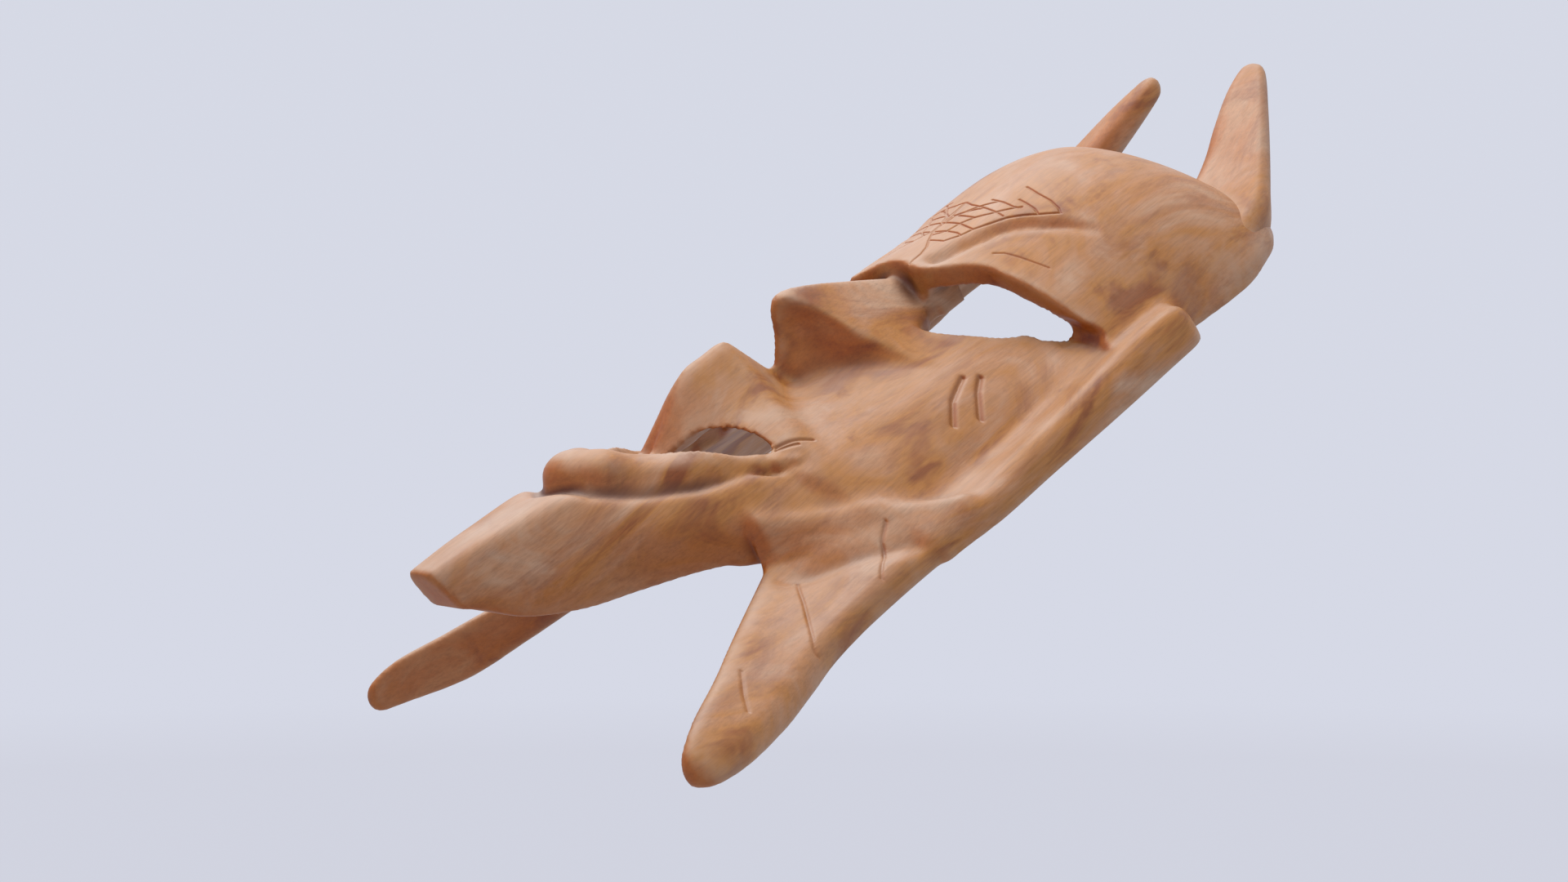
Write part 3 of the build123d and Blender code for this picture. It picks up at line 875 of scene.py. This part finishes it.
def wood_wear_and_painted_light(m, colour, slack, free):
    """The colour with painted shade in recesses, cuts and undersides, and a pale painted sheen on
    the front and on edges, which are partly wear.
    """
    recess = m.attribute("recess")
    # Painted shade: the deeper a place lies in a recess, the nearer its colour goes to a dark
    # brown.
    hollow = m.ramp(recess, [(0.05, 0.0), (0.62, 1.0)])
    colour = m.mix(m.times(hollow, 0.85), colour, RECESS_SHADE)
    # Convex edges made paler: partly wear, partly a painted sheen where the light catches them.
    worn_edge_and_sheen = m.ramp(m.times(recess, -1.0), [(0.35, 0.0), (0.9, 1.0)])
    scuffs = m.ramp(m.noise(free, 70, 4, 0.6), [(0.42, 0.25), (0.62, 1.0)])
    colour = m.mix(m.times(m.times(worn_edge_and_sheen, scuffs), 0.60), colour, PALE)
    # Painted shade in the carved lines, darker the deeper they are cut.
    colour = m.mix(m.times(m.attribute("carved"), 0.38), colour, BROWN)
    facing = m.node("ShaderNodeNewGeometry").outputs["Normal"]
    # Painted sheen: faces turned to the front and up, towards the light, go pale in patches.
    painted_sheen = m.ramp(m.toward(facing, FRONT), [(0.76, 0.0), (0.97, 0.6)])
    patchy = m.ramp(m.noise(slack, 45, 4, 0.6, 1.0), [(0.35, 0.45), (0.6, 1.0)])
    colour = m.mix(m.times(painted_sheen, patchy), colour, SHEEN_TINT)
    # Painted shade on faces turned down, away from the light.
    under = m.ramp(m.toward(facing, DOWN), [(0.10, 0.0), (0.58, 1.0)])
    return m.mix(under, colour, UNDERSIDE_SHADE, "MULTIPLY")


def wood(name, lean=0.0, paler=0.0):
    """Oiled carved wood, its grain upright or leaning by an angle seen from the front."""
    m = Shading(name)
    turn = (0, lean, 0)
    along = m.place((1, 1, 0.07), turn)
    slack = m.place((1, 1, 0.40), turn)
    free = m.place((1, 1, 1), turn)
    fibres = m.noise(along, 1500, 3, 0.7)
    threads = m.noise(along, 560, 4, 0.65)
    grain = m.math("ADD", m.times(fibres, 0.5), m.times(threads, 0.5))
    colour = wood_figure(m, slack, free, grain, paler)
    m.link(wood_wear_and_painted_light(m, colour, slack, free), m.shader.inputs["Base Color"])
    gloss = m.ramp(m.noise(slack, 60, 3, 0.6), [(0.3, 0.40), (0.7, 0.56)])
    m.link(gloss, m.shader.inputs["Roughness"])
    m.shader.inputs["Specular IOR Level"].default_value = 0.4
    tool_marks = m.bump(m.noise(m.place((1, 1, 0.5), turn), 60, 2, 0.4), 0.25, 0.0008)
    thread_bump = m.bump(threads, 0.15, 0.0002, tool_marks)
    m.link(m.bump(fibres, 0.15, 0.0001, thread_bump), m.shader.inputs["Normal"])
    return m.material


def metal(name, colour, scratch):
    """Dull steel with a blotchy skin and fine scratches."""
    m = Shading(name)
    skin = m.noise(m.place((1, 1, 1)), 220, 4, 0.6)
    lines = m.noise(m.place((0.08, 1, 1)), 2600, 2, 0.6)
    dull = tuple(0.55 * c for c in colour)
    m.link(m.ramp(skin, [(0.35, dull), (0.6, colour)]), m.shader.inputs["Base Color"])
    m.shader.inputs["Metallic"].default_value = 1.0
    m.link(m.ramp(skin, [(0.3, 0.32), (0.7, 0.55)]), m.shader.inputs["Roughness"])
    m.link(m.bump(lines, scratch, 0.0001), m.shader.inputs["Normal"])
    return m.material


def dress(node, material):
    """Give its material to a CAD piece that is carried over as it is."""
    for o in bpy.data.objects:
        if o.type == "MESH" and o.name.split(".")[0] == node:
            o.data.materials.clear()
            o.data.materials.append(material)


HORN_LEAN = 0.32  # radians
face.data.materials.append(wood("face wood"))
for tusk in (tusk_right, tusk_left):
    tusk.data.materials.append(wood(f"{tusk.name} wood"))
for horn, lean in ((horn_right, HORN_LEAN), (horn_left, -HORN_LEAN)):
    horn.data.materials.append(wood(f"{horn.name} wood", lean, 0.02))

peg_wood = wood("peg wood")
for node in ("horn_peg_right", "horn_peg_left", "tusk_peg_right", "tusk_peg_left"):
    dress(node, peg_wood)
dress("hanger_plate", metal("hanger steel", (0.42, 0.41, 0.40), 0.3))
screw_steel = metal("screw steel", (0.55, 0.54, 0.52), 0.15)
for node in ("hanger_screw_right", "hanger_screw_left"):
    dress(node, screw_steel)

# ---- Stage, camera and lights -------------------------------------------------------------------
FLOOR_HALF, FLOOR_HEIGHT = 5.0, -1.9  # metres
CAMERA_AT = (0.7101, -0.3654, -0.7170)
LENS, SENSOR = 50.0, 36.0  # millimetres

# The camera's own axes, in the row frame.
RIGHT = Vector((0.635, 0.396, 0.663)).normalized()
BACK = Vector((0.772, -0.352, -0.529))
BACK = (BACK - BACK.dot(RIGHT) * RIGHT).normalized()
UP = BACK.cross(RIGHT)

# The room's colour from straight below to above, with a soft floor line just under the middle.
SKY = [(0.0, (0.60, 0.62, 0.70)), (0.430, (0.640, 0.655, 0.745)),
       (0.442, (0.672, 0.693, 0.790)), (0.60, (0.672, 0.695, 0.785))]
MASK_MIDDLE = Vector((0.0, -0.05, -0.18))


def add(name, data):
    """A new object in the scene."""
    made = bpy.data.objects.new(name, data)
    bpy.context.scene.collection.objects.link(made)
    return made


def lay_floor():
    """A plain pale floor, far below the hanging mask."""
    mesh = bpy.data.meshes.new("floor")
    ring = [(-1, -1), (1, -1), (1, 1), (-1, 1)]
    mesh.from_pydata([(FLOOR_HALF * x, FLOOR_HALF * y, FLOOR_HEIGHT) for x, y in ring],
                     [], [(0, 1, 2, 3)])
    paint = bpy.data.materials.new("floor paint")
    paint.use_nodes = True
    shader = paint.node_tree.nodes["Principled BSDF"]
    shader.inputs["Base Color"].default_value = (0.7, 0.71, 0.76, 1)
    shader.inputs["Roughness"].default_value = 0.8
    mesh.materials.append(paint)
    return add("floor", mesh)


def place_camera():
    """The camera at the photograph's angle."""
    data = bpy.data.cameras.new("camera")
    data.lens, data.sensor_width = LENS, SENSOR
    camera = add("camera", data)
    basis = Matrix((RIGHT, UP, BACK)).transposed()
    camera.matrix_world = Matrix.Translation(CAMERA_AT) @ basis.to_4x4()
    bpy.context.scene.camera = camera


def studio_world():
    """A pale room: darker below the floor line, and dimmed a little behind the camera."""
    world = bpy.data.worlds.new("studio")
    world.use_nodes = True
    w = Nodes(world.node_tree)
    background = w.tree.nodes["Background"]
    direction = w.node("ShaderNodeTexCoord").outputs["Generated"]
    sky = w.ramp(w.math("MULTIPLY_ADD", w.toward(direction, UP), 0.5, 0.5), SKY)
    dimmed = w.node("ShaderNodeMapRange")
    w.link(w.toward(direction, BACK), dimmed.inputs["Value"])
    limits = (("From Min", -0.2), ("From Max", 0.7), ("To Min", 1.0), ("To Max", 0.95))
    for socket, value in limits:
        dimmed.inputs[socket].default_value = value
    room = w.node("ShaderNodeVectorMath", operation="MULTIPLY")
    w.link(sky, room.inputs[0])
    w.link(dimmed.outputs[0], room.inputs[1])
    w.link(room.outputs[0], background.inputs["Color"])
    background.inputs["Strength"].default_value = 1.0
    bpy.context.scene.world = world


def softbox(name, offset, size, power, tint):
    """A square lamp turned towards the mask."""
    data = bpy.data.lights.new(name, "AREA")
    data.size, data.energy, data.color = size, power, tint
    lamp = add(name, data)
    lamp.location = MASK_MIDDLE + offset
    lamp.rotation_mode = "QUATERNION"
    lamp.rotation_quaternion = (-offset).to_track_quat("-Z", "Y")


floor = lay_floor()
place_camera()
studio_world()
softbox("top softbox", UP * 1.45 - RIGHT * 0.3, 1.5, 27, (1.0, 0.98, 0.96))
softbox("back softbox", UP * 1.1 - BACK * 1.0 - RIGHT * 0.6, 1.2, 3, (1.0, 1.0, 1.0))
bpy.context.scene.view_settings.view_transform = "Standard"
